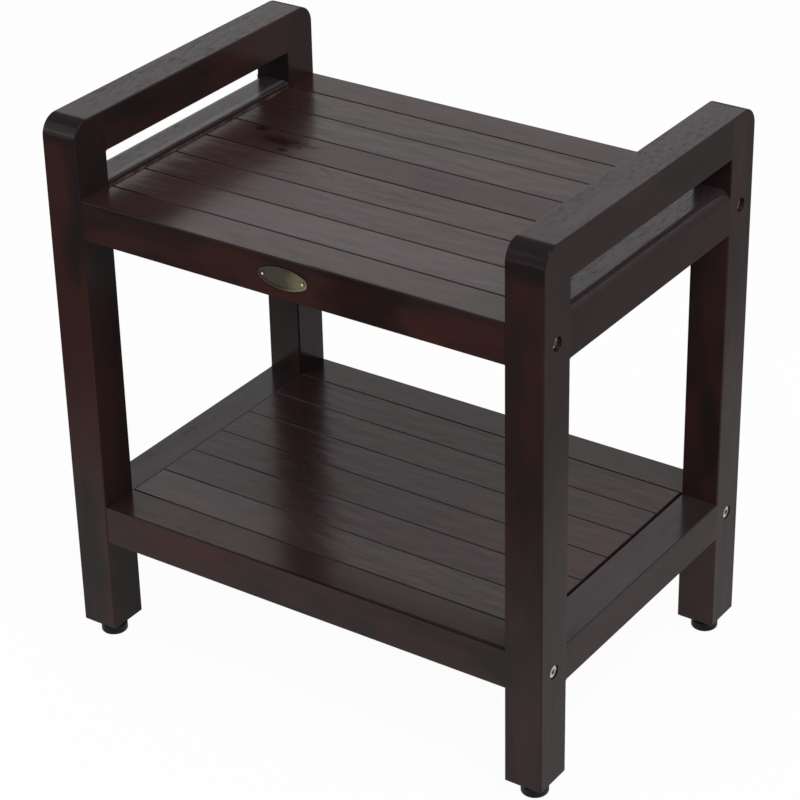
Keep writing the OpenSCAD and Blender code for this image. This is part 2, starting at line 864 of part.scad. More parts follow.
leg_front_left();
leg_front_right();
leg_rear_left();
leg_rear_right();
arm_rail_left();
arm_rail_right();
side_rail_left();
side_rail_right();
lower_side_rail_left();
lower_side_rail_right();
seat_front_rail();
seat_rear_rail();
shelf_front_rail();
shelf_rear_rail();
seat_slat_1();
seat_slat_2();
seat_slat_3();
seat_slat_4();
seat_slat_5();
seat_slat_6();
shelf_slat_1();
shelf_slat_2();
shelf_slat_3();
shelf_slat_4();
shelf_slat_5();
shelf_slat_6();
seat_batten_left();
seat_batten_middle();
seat_batten_right();
shelf_batten_left();
shelf_batten_middle();
shelf_batten_right();
frame_bolts();
barrel_nuts();
rail_dowels();
seat_slat_screws();
shelf_slat_screws();
leg_inserts();
foot_stud_front_left();
foot_stud_front_right();
foot_stud_rear_left();
foot_stud_rear_right();
foot_pad_front_left();
foot_pad_front_right();
foot_pad_rear_left();
foot_pad_rear_right();
badge_plate();
badge_pins();
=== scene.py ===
from math import radians

import bpy
from mathutils import Matrix, Vector


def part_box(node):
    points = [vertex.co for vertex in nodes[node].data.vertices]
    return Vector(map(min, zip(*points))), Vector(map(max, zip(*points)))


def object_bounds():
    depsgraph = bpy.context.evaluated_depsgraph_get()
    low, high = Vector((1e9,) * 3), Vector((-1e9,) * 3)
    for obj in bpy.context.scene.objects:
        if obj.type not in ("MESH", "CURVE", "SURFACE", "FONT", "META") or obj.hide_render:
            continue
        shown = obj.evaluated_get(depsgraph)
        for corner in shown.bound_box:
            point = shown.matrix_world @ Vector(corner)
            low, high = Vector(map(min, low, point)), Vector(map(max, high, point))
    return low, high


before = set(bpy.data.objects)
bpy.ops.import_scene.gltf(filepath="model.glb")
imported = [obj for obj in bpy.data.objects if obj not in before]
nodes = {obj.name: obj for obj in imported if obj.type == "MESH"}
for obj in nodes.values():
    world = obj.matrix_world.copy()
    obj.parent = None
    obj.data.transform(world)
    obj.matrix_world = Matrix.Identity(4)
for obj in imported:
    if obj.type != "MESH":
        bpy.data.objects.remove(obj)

# Teak shower bench with two grab arms, a slatted seat and a slatted shelf, in metres.
# The wood is a solid texture: each stick has its own rings, fibres and pores.

cad_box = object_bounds()

MM = 0.001

# Camera of the photograph
CAMERA_AT = Vector((1.22448, -1.77104, 1.43647))
CAMERA_AIM = Vector((-0.00223, -0.00317, 0.24758))
CAMERA_ROLL = radians(-1.2594)
CAMERA_LENS = 121.68
CAMERA_SENSOR = 36.0
CAMERA_REACH = 100.0

# Places on the bench, read from the frame
SEAT_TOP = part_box("seat_slat_4")[1].z
ARM_TOP = cad_box[1].z
SIDE_RAIL_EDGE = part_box("side_rail_left")[1].x
SEAT_RAIL_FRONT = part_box("seat_front_rail")[0].y
SHELF_RAIL_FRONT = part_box("shelf_front_rail")[0].y
PLATE_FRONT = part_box("badge_plate")[0].y
pin_low, pin_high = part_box("badge_pins")
PIN_RADIUS = (pin_high.z - pin_low.z) / 2
PIN_X = pin_high.x - PIN_RADIUS
PIN_Z = (pin_high.z + pin_low.z) / 2


class Wire:
    """One socket of a shader graph. Python's operators on it add Math nodes."""

    def __init__(self, graph, socket):
        self.graph = graph
        self.socket = socket

    def math(self, operation, *values, clamp=False):
        return self.graph.node("ShaderNodeMath", values, operation=operation, use_clamp=clamp)

    def __add__(self, other):
        return self.math("ADD", self, other)

    __radd__ = __add__

    def __sub__(self, other):
        return self.math("SUBTRACT", self, other)

    def __rsub__(self, other):
        return self.math("SUBTRACT", other, self)

    def __mul__(self, other):
        return self.math("MULTIPLY", self, other)

    __rmul__ = __mul__

    def __truediv__(self, other):
        return self.math("DIVIDE", self, other)

    def __abs__(self):
        return self.math("ABSOLUTE", self)

    def clamped(self):
        return self.math("ADD", self, 0.0, clamp=True)

    def sine(self):
        return self.math("SINE", self)

    def root(self):
        return self.math("SQRT", self)

    def at_least(self, other):
        return self.math("MAXIMUM", self, other)

    def step(self, start, end):
        """0 below start and 1 above end, with a smooth rise between them."""
        return self.graph.node(
            "ShaderNodeMapRange",
            {"Value": self, "From Min": start, "From Max": end},
            interpolation_type="SMOOTHSTEP",
        )

    def mixed(self, low, high):
        """A colour: low where this is 0 and high where it is 1."""
        return self.graph.mix(self, low, high)


class Graph:
    """The nodes of one material or world."""

    def __init__(self, owner):
        owner.use_nodes = True
        self.owner = owner
        self.tree = owner.node_tree
        self.tree.nodes.clear()

    def node(self, kind, inputs=(), output=0, **settings):
        """Adds a node, sets it, gives its sockets their values or links, and returns one output."""
        made = self.tree.nodes.new(kind)
        for key, value in settings.items():
            setattr(made, key, value)
        pairs = inputs.items() if isinstance(inputs, dict) else enumerate(inputs)
        for key, value in pairs:
            socket = made.inputs[key]
            if isinstance(value, Wire):
                self.tree.links.new(value.socket, socket)
            elif socket.type == "RGBA":
                socket.default_value = (*value, 1.0)
            else:
                socket.default_value = value
        return Wire(self, made.outputs[output]) if made.outputs else made

    def place(self):
        """Where the surface lies at rest, in metres from the bench's origin."""
        return self.node("ShaderNodeTexCoord", output="Object")

    def normal(self):
        """Which way the surface looks."""
        return self.node("ShaderNodeTexCoord", output="Normal")

    def axes(self, vector):
        """The three numbers of a vector."""
        parts = self.node("ShaderNodeSeparateXYZ", [vector]).socket.node
        return [Wire(self, socket) for socket in parts.outputs]

    def point(self, x, y, z):
        return self.node("ShaderNodeCombineXYZ", [x, y, z])

    def noise(self, point, scale=1.0, detail=2.0, rough=0.5, twist=0.0):
        sockets = {
            "Vector": point,
            "Scale": scale,
            "Detail": detail,
            "Roughness": rough,
            "Distortion": twist,
        }
        return self.node("ShaderNodeTexNoise", sockets)

    def mix(self, share, low, high):
        """A colour between two: low where share is 0 and high where it is 1."""
        return self.node(
            "ShaderNodeMix",
            {0: share, 6: low, 7: high},
            output=2,
            data_type="RGBA",
            clamp_factor=True,
        )

    def bump(self, height, strength, distance, over=None):
        """A bump, over another one where that is given."""
        sockets = {"Height": height, "Strength": strength, "Distance": distance}
        if over:
            sockets["Normal"] = over
        return self.node("ShaderNodeBump", sockets)

    def surface(self, **sockets):
        """Ends the graph in a Principled shader. Names of sockets have _ for a space."""
        values = {key.replace("_", " "): value for key, value in sockets.items()}
        shader = self.node("ShaderNodeBsdfPrincipled", values)
        self.node("ShaderNodeOutputMaterial", {"Surface": shader})
        return self.owner


def material_graph(name):
    return Graph(bpy.data.materials.new(name))


# ---- Wood ----

# The stain's dark, middle and redder tones, and its tone on end grain, which also serves as painted
# shade
STAIN_DARK = (0.0145, 0.0098, 0.0100)
STAIN_MID = (0.0330, 0.0138, 0.0124)
STAIN_RED = (0.0480, 0.0145, 0.0128)
END_GRAIN_AND_SHADE = (0.0100, 0.0072, 0.0085)

# The casts that tops take: a painted sheen, the satin finish's reflected light painted into their
# colour
PAINTED_SHEEN_COOL = (0.0310, 0.0122, 0.0200)
PAINTED_SHEEN_WARM = (0.0490, 0.0155, 0.0128)
PAINTED_SHEEN_GREY = (0.0240, 0.0200, 0.0225)

# Open pores and other dark marks, a painted sheen, and a painted highlight
PORE = (0.0060, 0.0044, 0.0044)
RAIL_PAINTED_SHEEN = (0.0740, 0.0690, 0.0760)
RAIL_PAINTED_HIGHLIGHT = (0.1100, 0.0800, 0.0700)

# The annual rings: their pitch, where their middle lies from the origin, across and below the
# fibres, how far it wanders along the stick, and how far the rings ripple
RING_PITCH = 3.2 * MM
HEART = (0.03, 0.09)
HEART_WANDER = 0.05
RING_RIPPLE = 0.012
FULL_TURN = 6.2832

# The grain's layers: how many waves a metre each has along the fibres and across them
RIPPLE = (9.0, 22.0)
CLOUD = (6.0, 20.0)
PATCH = (16.0, 48.0)
STREAK = (6.0, 170.0)
FIBRE = (28.0, 900.0)
PORE_DRIFT = (9.0, 60.0)
PORE_DASH = (85.0, 2200.0)
MOTTLE = (30.0, 120.0)
PLANING = (26.0, 80.0)

# The satin finish's weight on flat fronts, flat sides and upright arrises, and what is added to
# each near the floor: a painted sheen set by which way a face looks, with a painted reflection of
# the floor near it
COAT_FRONT, COAT_FRONT_LOW = 0.04, 0.32
COAT_SIDE, COAT_SIDE_LOW = 0.16, 0.15
COAT_ARRIS, COAT_ARRIS_LOW = 0.10, 0.16

# Its weight on rounded end grain, a painted sheen, and what is added in the gleam there, a painted
# highlight
COAT_ROUNDED = 0.12
COAT_GLEAM = 0.14

# The heights between which fronts and sides stop being near the floor
LOW_FRONT = (0.10, 0.34)
LOW_SIDE = (0.20, 0.42)


def teak(
    name,
    along,
    seed,
    red=0.3,
    cool=0.5,
    pores=0.5,
    gloss=0.6,
    warm=1.0,
    side_warm=0.55,
    grey=0.0,
    top_sheen_share=0.6,
    patchy=0.15,
    ends=0.0,
    painted_shade_depth=0.0,
    gleam=0.3,
    sheen=1.0,
    satin_rough=0.18,
    planed=0.0,
    marks=None,
    painted_light=None,
):
    """Stained teak with its fibres along one axis.

    warm is how far the stain's middle tone comes through, with side_warm as its share on tops and
    sides, so that the colour changes with the way a face looks, which is painted light. red is how
    far the redder tone does, and patchy how far darker patches show.
    gloss is the weight of the satin finish on tops, and satin_rough its roughness. top_sheen_share
    is how far tops take a painted sheen, the finish's cast painted into their colour, cool how cool
    that cast is, and grey how far it is a grey one.
    sheen is how much of the finish the sides have beside other sticks, a scale on their painted
    sheen.
    ends is how dark rounded end grain is, partly its own darker stain and partly a painted dark
    reflection. painted_shade_depth is how far down from the top the fronts take painted shade, and
    gleam the height of the normal up to which that end grain gleams, a painted highlight.
    planed is the shine of the wood under the finish, which shows how the plane has waved it.
    marks is a function that draws dark marks of this stick's own, some of them painted shade, from
    the graph, x, y and z.
    painted_light is one that paints sheen and a highlight into the colour, from those and the
    colour so far.
    """
    graph = material_graph(name)
    x, y, z = graph.axes(graph.place())
    length, across, deep = {"x": (x, y, z), "y": (y, x, z), "z": (z, x, y)}[along]

    def layer(waves, start=0.0, row=0.0, depth=0.0, **settings):
        """Noise drawn out along the fibres, and moved along, across and below them."""
        waves_along, waves_across = waves
        spot = [
            place * count + shift if shift else place * count
            for place, count, shift in (
                (length, waves_along, start),
                (across, waves_across, row),
                (deep, waves_across, depth),
            )
        ]
        return graph.noise(graph.point(*spot), **settings)

    # Annual rings round a wandering heart
    wander = graph.noise(graph.point(length * 2.2 + seed, seed * 1.7, 0.3)) - 0.5
    ripple = layer(RIPPLE, row=seed, detail=3.0) - 0.5
    off_across = across - HEART[0] + wander * HEART_WANDER
    off_deep = deep - HEART[1] + ripple * RING_RIPPLE
    radius = (off_across * off_across + off_deep * off_deep).root()
    rings = (radius * (FULL_TURN / RING_PITCH)).sine() * 0.5 + 0.5

    # Clouds and patches of stain, then streaks and fibres
    cloud = layer(CLOUD, start=seed * 3.1)
    patch = layer(PATCH, row=seed)
    streak = layer(STREAK, start=seed, detail=3.0, rough=0.6)
    fibre = layer(FIBRE, row=seed)

    # How squarely the surface looks up, to the side and to the front or rear
    nx, ny, nz = graph.axes(graph.normal())
    tilt = (nx * nx * 0.03 + ny * ny).root()
    flat_top = nz.step(0.0, 0.3) * (1.0 - tilt.step(0.0, 0.19))
    flat_side = 1.0 - (1.0 - nx * nx).root().step(0.20, 0.75)
    flat_front = 1.0 - (1.0 - ny * ny).root().step(0.20, 0.75)
    rounded = nz.step(0.10, 0.30) * (1.0 - flat_top)

    # The gleam: a painted highlight, extra finish in a wavy band across rounded end grain, where it
    # still looks mostly to the front
    wavy = nz + (graph.noise(graph.point(x * 90.0 + seed, 0.0, 0.0), detail=1.0) - 0.5) * 0.22
    frontal = (0.0 - ny).step(0.80, 0.92)
    glint = frontal * wavy.step(0.14, 0.22) * (1.0 - wavy.step(gleam - 0.05, gleam + 0.10))

    # Open pores, mostly on tops: short dark dashes along the fibres, in drifts
    drift = layer(PORE_DRIFT, start=-seed)
    dash = layer(PORE_DASH, depth=seed, detail=1.0)
    fewer = 0.35 * pores
    pore = dash.step(0.56, 0.66) * drift.step(0.58 - fewer, 0.82 - fewer)
    pore = pore * (flat_top * (pores * 0.34 + 0.30) + 0.12)

    # The stain, its tones set partly by the way a face looks, and on tops a painted sheen, the
    # finish's cast, over it
    tone = cloud * 0.72 + patch * 0.21 + streak * 0.03 + rings * 0.02 + fibre * 0.02
    # Painted light: the middle and redder tones show more on fronts than on tops and sides
    facing = abs(ny) * (1.0 - side_warm) + side_warm
    brown = (tone.step(0.36, 0.62) * facing * warm).mixed(STAIN_DARK, STAIN_MID)
    blush = cloud.step(0.50, 0.70) * patch.step(0.42, 0.62) * facing * red
    redder = blush.mixed(brown, STAIN_RED)
    sheen_blend = cloud.step(0.35, 0.62) * (1.0 - cool) + patch.step(0.40, 0.65) * cool
    painted_sheen_colour = sheen_blend.mixed(PAINTED_SHEEN_WARM, PAINTED_SHEEN_COOL)
    if grey:
        painted_sheen_colour = graph.mix(grey, painted_sheen_colour, PAINTED_SHEEN_GREY)
    # Painted sheen: tops take the finish's cast into their colour
    stain_and_light = (flat_top * top_sheen_share).mixed(redder, painted_sheen_colour)
    shade = (1.0 - patch.step(0.34, 0.56)) * patchy
    stain_and_light = shade.mixed(stain_and_light, STAIN_DARK)

    # Darker rounded end grain, partly its own stain and partly a painted dark reflection, painted
    # shade from the top down on fronts, and painted shade on the long arrises of what runs from
    # side to side
    if ends:
        stain_and_light = (rounded * ends).mixed(stain_and_light, END_GRAIN_AND_SHADE)
        # Painted shade on fronts, from the top down to painted_shade_depth: under the rounded
        # corner on the front legs, through the slot under the arm on the rear legs
        painted_top_shade = (z - (ARM_TOP - painted_shade_depth)).step(-8.0 * MM, 8.0 * MM)
        painted_top_shade = painted_top_shade * (1.0 - flat_top) * (1.0 - flat_side)
        stain_and_light = (painted_top_shade * 0.75).mixed(stain_and_light, END_GRAIN_AND_SHADE)
    if along == "x":
        # Painted shade on the long rounded arrises, like the shade in the grooves between slats
        arris = (abs(ny) * nz * 2.0).step(0.30, 0.80)
        stain_and_light = (arris * 0.85).mixed(stain_and_light, STAIN_DARK)

    # Pores, this stick's own marks, some of them painted shade, and its painted light
    dark = pore
    if marks:
        dark = (pore + marks(graph, x, y, z)).clamped()
    colour = (dark * 0.9).mixed(stain_and_light, PORE)
    if painted_light:
        colour = painted_light(graph, x, y, z, colour)

    # The satin finish's weight is a painted sheen, set by which way a face looks and how near the
    # floor it is: most on faces that look up, and hardly in pores and dark marks
    low_front = 1.0 - z.step(*LOW_FRONT)
    low_side = 1.0 - z.step(*LOW_SIDE)
    front = flat_front * (low_front * COAT_FRONT_LOW + COAT_FRONT)
    side = flat_side * (low_side * COAT_SIDE_LOW + COAT_SIDE) * sheen
    upright = (1.0 - flat_side) * (1.0 - flat_front) * (1.0 - nz.step(0.05, 0.20))
    edge = upright * (low_side * COAT_ARRIS_LOW + COAT_ARRIS)
    end = (glint * COAT_GLEAM + rounded * COAT_ROUNDED) * (1.0 - flat_side)
    satin = flat_top * gloss + side + front + edge + end
    mottle = layer(MOTTLE, row=seed)
    coat = satin * (1.0 - dark * 0.9) * (0.78 + streak * 0.12 + mottle * 0.32)

    # Fibres and pores over the plane's waves
    height = fibre * 0.25 + streak * 0.15 - pore
    waved = graph.bump(layer(PLANING, row=seed, detail=1.0), 1.0, 0.7 * MM)
    return graph.surface(
        Base_Color=colour,
        Roughness=0.26 + (fibre - 0.5) * 0.08 + pore * 0.2,
        Specular_IOR_Level=planed,
        Coat_Weight=coat,
        Coat_Roughness=satin_rough,
        Coat_IOR=1.5,
        Normal=graph.bump(height, 0.12, 0.2 * MM, over=waved),
    )


# ---- Marks of single sticks, and painted shade and light on some ----

# The burr in the third seat slat: where its vein starts and forks, the branch's end, and the
# crackled patch's middle and reach
VEIN_START = (-0.135, -0.0380)
VEIN_FORK = (-0.056, -0.0190)
BRANCH_END = (-0.080, -0.0060)
VEIN_WIDTH = 2.4 * MM
BRANCH_WIDTH = 2.2 * MM
BURR_X, BURR_Y = 0.010, -0.020
BURR_REACH_X, BURR_REACH_Y = 0.078, 0.016

# The knot in the fourth seat slat. Each blot is placed from it in x and y, has a reach in x and y,
# and is more or less ragged and dark: the knot itself, its tail, one behind it and one before it
KNOT_X, KNOT_Y = -0.1455, 0.0236
BLOTS = (
    (0.0, 0.0, 0.0280, 0.0115, 1.0, 0.85),
    (0.022, 0.003, 0.0260, 0.0045, 0.5, 0.5),
    (-0.032, 0.0145, 0.0090, 0.0065, 0.5, 0.9),
    (0.012, -0.0150, 0.0070, 0.0045, 0.5, 0.7),
)

# The middle of the smoky patch on the seat's front rail
SMOKE_X = 0.080


def segment(x, y, start, end, width, waver):
    """1 on a wavering line from start to end, across the seat's top."""
    run_x, run_y = end[0] - start[0], end[1] - start[1]
    square = run_x ** 2 + run_y ** 2
    share = (((x - start[0]) * run_x + (y - start[1]) * run_y) / square).clamped()
    off_x = x - start[0] - share * run_x
    off_y = y - start[1] - share * run_y + waver
    gap = (off_x * off_x + off_y * off_y).root()
    return 1.0 - gap.step(width * 0.3, width)


def burr_figure(graph, x, y, z):
    """The third seat slat: a forked vein that runs into a patch of crackled burr."""
    waver = (graph.noise(graph.point(x * 85.0, y * 40.0, 3.0), detail=3.0) - 0.5) * 0.012
    fade = graph.noise(graph.point(x * 60.0, y * 60.0, 8.0)).step(0.30, 0.62)
    vein = segment(x, y, VEIN_START, VEIN_FORK, VEIN_WIDTH, waver)
    branch = segment(x, y, VEIN_FORK, BRANCH_END, BRANCH_WIDTH, waver)
    across = (x - BURR_X) / BURR_REACH_X
    up = (y - BURR_Y) / BURR_REACH_Y
    inside = 1.0 - (across * across + up * up).root().step(0.45, 1.1)
    spot = graph.point(x * 80.0, y * 150.0, 1.7)
    crackle = graph.noise(spot, detail=3.0, rough=0.6, twist=0.8)
    lines = 1.0 - abs(crackle - 0.5).step(0.0, 0.045)
    soft = crackle.step(0.45, 0.7)
    return (vein + branch) * fade * 0.55 + inside * (lines * 0.45 + soft * 0.2)


def knot_smudge(graph, x, y, z):
    """The fourth seat slat: a dark frayed knot near its left end, with blots round it."""
    speckle = graph.noise(graph.point(x * 95.0, y * 300.0, 5.1), detail=4.0, rough=0.70)
    frayed = (speckle - 0.5) * 2.6
    dark = 0.0
    for off_x, off_y, reach_x, reach_y, ragged, depth in BLOTS:
        across = (x - (KNOT_X + off_x)) / reach_x
        up = (y - (KNOT_Y + off_y)) / reach_y
        blot = 1.0 - ((across * across + up * up).root() + frayed * ragged).step(0.25, 1.20)
        dark = (blot * depth).at_least(dark)
    return dark


def front_rail_marks_and_shade(graph, x, y, z):
    """The seat's front rail: a smoky patch on its face, and painted shade along its top arris."""
    drift = (graph.noise(graph.point(x * 22.0, 0.0, z * 35.0)) - 0.5) * 0.06
    back = y - SEAT_RAIL_FRONT
    face = 1.0 - back.step(0.0, 1.0 * MM)
    smoke = (1.0 - abs(x + drift - SMOKE_X).step(0.014, 0.060)) * face
    # Painted shade: a dark strip on the top behind the front edge, as if the arris were rounded
    # more and turned from the light
    strip = back.step(0.2 * MM, 0.8 * MM) * (1.0 - back.step(2.0 * MM, 4.0 * MM))
    rubbed = strip * (x + drift).step(-0.010, 0.040) * (1.0 - x.step(0.12, 0.20) * 0.6)
    return (smoke * 0.62).at_least(rubbed * 0.5)


def shelf_rail_painted_shade(graph, x, y, z):
    """The shelf's front rail: painted shade along its top arris, wider to the right."""
    drift = (graph.noise(graph.point(x * 40.0, 0.0, 6.0)) - 0.5) * 1.6 * MM
    back = y - SHELF_RAIL_FRONT
    inner = (back + drift - (x + 0.2) * 0.006).step(1.2 * MM, 3.2 * MM)
    strip = back.step(0.2 * MM, 0.6 * MM) * (1.0 - inner)
    return strip * ((x + 0.25).step(0.0, 0.25) * 0.4 + 0.3)


def painted_rail_light(graph, x, y, z, colour):
    """The left side rail: a painted sheen beside the seat, and a thin painted highlight where the
    two meet.
    """
    inset = SIDE_RAIL_EDGE - x
    # Painted light: a paler band of sheen beside the seat, and a highlight line at its foot that
    # rub varies
    rub = graph.noise(graph.point(0.0, y * 60.0, 4.0), detail=3.0).step(0.35, 0.65)
    sheen_band = inset.step(2.5 * MM, 5.5 * MM) * (1.0 - inset.step(7.0 * MM, 10.0 * MM))
    sheen_band = sheen_band * z.step(SEAT_TOP, SEAT_TOP + MM)
    line = 1.0 - inset.step(0.1 * MM, 0.3 * MM)
    line = line * (1.0 - z.step(SEAT_TOP + 0.3 * MM, SEAT_TOP + 0.6 * MM))
    with_sheen_band = (sheen_band * 0.8).mixed(colour, RAIL_PAINTED_SHEEN)
    return (line * (rub * 0.7 + 0.2)).mixed(with_sheen_band, RAIL_PAINTED_HIGHLIGHT)


# ---- Dowels, metals and rubber ----

BEECH_DARK = (0.40, 0.25, 0.14)
BEECH_PALE = (0.58, 0.40, 0.24)

# Each plain metal's name, dull and bright tones, roughness, and scratches a metre
STEEL = ("stainless steel", (0.42, 0.39, 0.34), (0.72, 0.68, 0.60), 0.28, 1800.0)
ZINC = ("zinc plated steel", (0.30, 0.30, 0.30), (0.55, 0.55, 0.54), 0.35, 1500.0)
INSERT_BRASS = ("insert brass", (0.45, 0.33, 0.15), (0.70, 0.55, 0.28), 0.3, 1500.0)

# The oval plate: its tarnished and rubbed brass, the film on both, its bright rim and the height
# of that, and how far the rubbed part's edge leans over
PLATE_TARNISH = (0.044, 0.038, 0.031)
PLATE_RUBBED = (0.135, 0.118, 0.048)
PLATE_FILM = (0.036, 0.036, 0.026)
PLATE_RIM = (0.24, 0.22, 0.16)
PLATE_RIM_HEIGHT = 0.4 * MM
PLATE_SLANT = 0.25

# The pins' brass, and the painted shade round the edge of their heads
PIN_BRIGHT = (0.85, 0.78, 0.58)
PIN_PAINTED_SHADE = (0.13, 0.11, 0.07)

RUBBER_BLACK = (0.008, 0.007, 0.007)
RUBBER_DUSTY = (0.020, 0.018, 0.017)


def bare_beech():
    graph = material_graph("bare beech")
    x, y, z = graph.axes(graph.place())
    fleck = graph.noise(graph.point(x * 60.0, y * 900.0, z * 900.0))
    return graph.surface(
        Base_Color=fleck.mixed(BEECH_DARK, BEECH_PALE),
        Roughness=0.6 + (fleck - 0.5) * 0.1,
        Normal=graph.bump(fleck, 0.3, 0.1 * MM),
    )


def brushed_metal(name, dull, bright, rough, scratches):
    """Turned or drawn metal: fine scratches, and a duller film in patches."""
    graph = material_graph(name)
    place = graph.place()
    film = graph.noise(place, 220.0, detail=3.0)
    scratch = graph.noise(place, scratches, rough=0.6)
    return graph.surface(
        Base_Color=film.step(0.35, 0.7).mixed(dull, bright),
        Metallic=1.0,
        Roughness=rough + (film - 0.5) * 0.2 + (scratch - 0.5) * 0.1,
        Normal=graph.bump(scratch, 0.2, 0.05 * MM),
    )


def aged_brass():
    """The plate: brushed along its length, tarnished at its left end, rubbed at its right."""
    graph = material_graph("aged brass")
    x, y, z = graph.axes(graph.place())
    brushed = graph.noise(graph.point(x * 160.0, y * 900.0, z * 2600.0))
    film = graph.noise(graph.point(x * 110.0, 0.0, z * 260.0))
    ragged = x + (film - 0.5) * 0.022
    rub = (ragged - z * PLATE_SLANT + SEAT_TOP * PLATE_SLANT).step(0.004, 0.024)
    field = rub.mixed(PLATE_TARNISH, PLATE_RUBBED)
    field = (film.step(0.40, 0.70) * 0.5).mixed(field, PLATE_FILM)
    sunk = (y - (PLATE_FRONT + PLATE_RIM_HEIGHT)).step(-0.25 * MM, 0.15 * MM)
    return graph.surface(
        Base_Color=((1.0 - sunk) * (0.10 + rub * 0.45)).mixed(field, PLATE_RIM),
        Metallic=1.0,
        Roughness=0.40 + (brushed - 0.5) * 0.15,
        Normal=graph.bump(brushed, 0.15, 0.05 * MM),
    )


def pin_brass():
    """The plate's pins: bright in the middle of their heads, and darker round the edge, a painted
    shade.
    """
    graph = material_graph("pin brass")
    place = graph.place()
    x, y, z = graph.axes(place)
    off_x = abs(x) - PIN_X
    off_z = z - PIN_Z
    # Painted shade: darker towards the edge of each head
    rim_shade = ((off_x * off_x + off_z * off_z).root() / PIN_RADIUS).step(0.45, 0.85)
    scratch = graph.noise(place, 2600.0, rough=0.6)
    return graph.surface(
        Base_Color=rim_shade.mixed(PIN_BRIGHT, PIN_PAINTED_SHADE),
        Metallic=1.0,
        Roughness=0.22 + (scratch - 0.5) * 0.1,
        Normal=graph.bump(scratch, 0.2, 0.05 * MM),
    )


def moulded_rubber():
    graph = material_graph("moulded rubber")
    place = graph.place()
    speckle = graph.noise(place, 2500.0)
    dust = graph.noise(place, 90.0, detail=3.0)
    return graph.surface(
        Base_Color=dust.step(0.4, 0.75).mixed(RUBBER_BLACK, RUBBER_DUSTY),
        Roughness=0.55 + (speckle - 0.5) * 0.2,
        Specular_IOR_Level=0.12,
        Normal=graph.bump(speckle, 0.3, 0.08 * MM),
    )


# ---- Which piece has which finish ----

# From one stick to the next, the seed of the grain rises by this
SEED_STEP = 7.3

# How the finish of each leg and each pair of side-frame rails differs from teak's defaults, and
# then what a single rail has of its own
LEGS = {
    "leg_front_left": dict(
        warm=1.60, side_warm=0.36, red=0.20, sheen=0.75, ends=0.5, painted_shade_depth=0.020, gleam=0.42
    ),
    "leg_front_right": dict(
        warm=0.68, side_warm=0.66, red=0.10, sheen=1.10, ends=0.7, painted_shade_depth=0.029, gleam=0.28
    ),
    "leg_rear_left": dict(
        warm=0.80, side_warm=0.55, red=0.15, sheen=1.0, ends=0.4, painted_shade_depth=0.078, gleam=0.30
    ),
    "leg_rear_right": dict(
        warm=1.25, side_warm=0.40, red=0.30, sheen=1.10, ends=0.4, painted_shade_depth=0.078, gleam=0.30
    ),
}
SIDE_RAILS = {
    "arm_rail": dict(pores=1.0, gloss=0.62, satin_rough=0.18, warm=0.8, top_sheen_share=0.7),
    "side_rail": dict(pores=0.9, gloss=0.71, satin_rough=0.22, warm=0.6, top_sheen_share=1.0),
    "lower_side_rail": dict(pores=0.4, gloss=0.58, satin_rough=0.18, warm=0.8, top_sheen_share=0.6),
}
OWN_FINISHES = {
    "arm_rail_left": dict(warm=1.45),
    "side_rail_left": dict(painted_light=painted_rail_light),
}

# The gloss and top_sheen_share of each panel, its share of painted sheen on tops, and for each of
# its slats, from the front: how cool the finish looks, its gloss beside the others' and its share
# of that painted sheen
PANELS = {"seat": (0.30, 0.6), "shelf": (0.27, 0.7)}
SLATS = (
    (0.25, 0.14, 1.0),
    (0.8, 0.0, 1.0),
    (0.3, -0.035, 1.0),
    (0.9, -0.035, 1.0),
    (0.15, -0.04, 0.5),
    (0.6, -0.08, 0.5),
)
MARKS = {
    "seat_front_rail": front_rail_marks_and_shade,
    "shelf_front_rail": shelf_rail_painted_shade,
    "seat_slat_3": burr_figure,
    "seat_slat_4": knot_smudge,
}

# The shine of planed wood under the finish, the gloss that makes up for it where it is absent,
# and what the seat's front rail adds to that
PLANED = 0.1
PLANED_GLOSS = 0.31
SEAT_FRONT_GLOSS = 0.17


def assign(node, material):
    mesh = nodes[node].data
    mesh.materials.clear()
    mesh.materials.append(material)


def dress_panel(panel, gloss, top_sheen_share, seed):
    """The rails, slats and battens of the seat or the shelf. Gives the last seed."""
    for end in ("front", "rear"):
        seed += SEED_STEP
        rail = f"{panel}_{end}_rail"
        shine = gloss + PLANED_GLOSS
        if rail == "seat_front_rail":
            shine += SEAT_FRONT_GLOSS
        wood = teak(
            f"teak {rail}",
            "x",
            seed,
            red=0.6,
            pores=0.3,
            gloss=shine,
            warm=1.5,
            side_warm=0.3,
            top_sheen_share=0.4,
            marks=MARKS.get(rail),
        )
        assign(rail, wood)
    for number, (cool, extra_gloss, slat_sheen_share) in enumerate(SLATS, start=1):
        seed += SEED_STEP
        slat = f"{panel}_slat_{number}"
        marks = MARKS.get(slat)
        # The knot would show too little if part of the shine didn't dull on it
        planed = 0.0 if marks is knot_smudge else PLANED
        wood = teak(
            f"teak {slat}",
            "x",
            seed,
            red=0.6,
            cool=cool,
            pores=0.25,
            gloss=gloss + extra_gloss + (0.0 if planed else PLANED_GLOSS),
            top_sheen_share=top_sheen_share * slat_sheen_share,
            patchy=0.45,
            planed=planed,
            marks=marks,
        )
        assign(slat, wood)
    for place in ("left", "middle", "right"):
        seed += SEED_STEP
        assign(f"{panel}_batten_{place}", teak(f"teak {panel} batten {place}", "y", seed))
    return seed


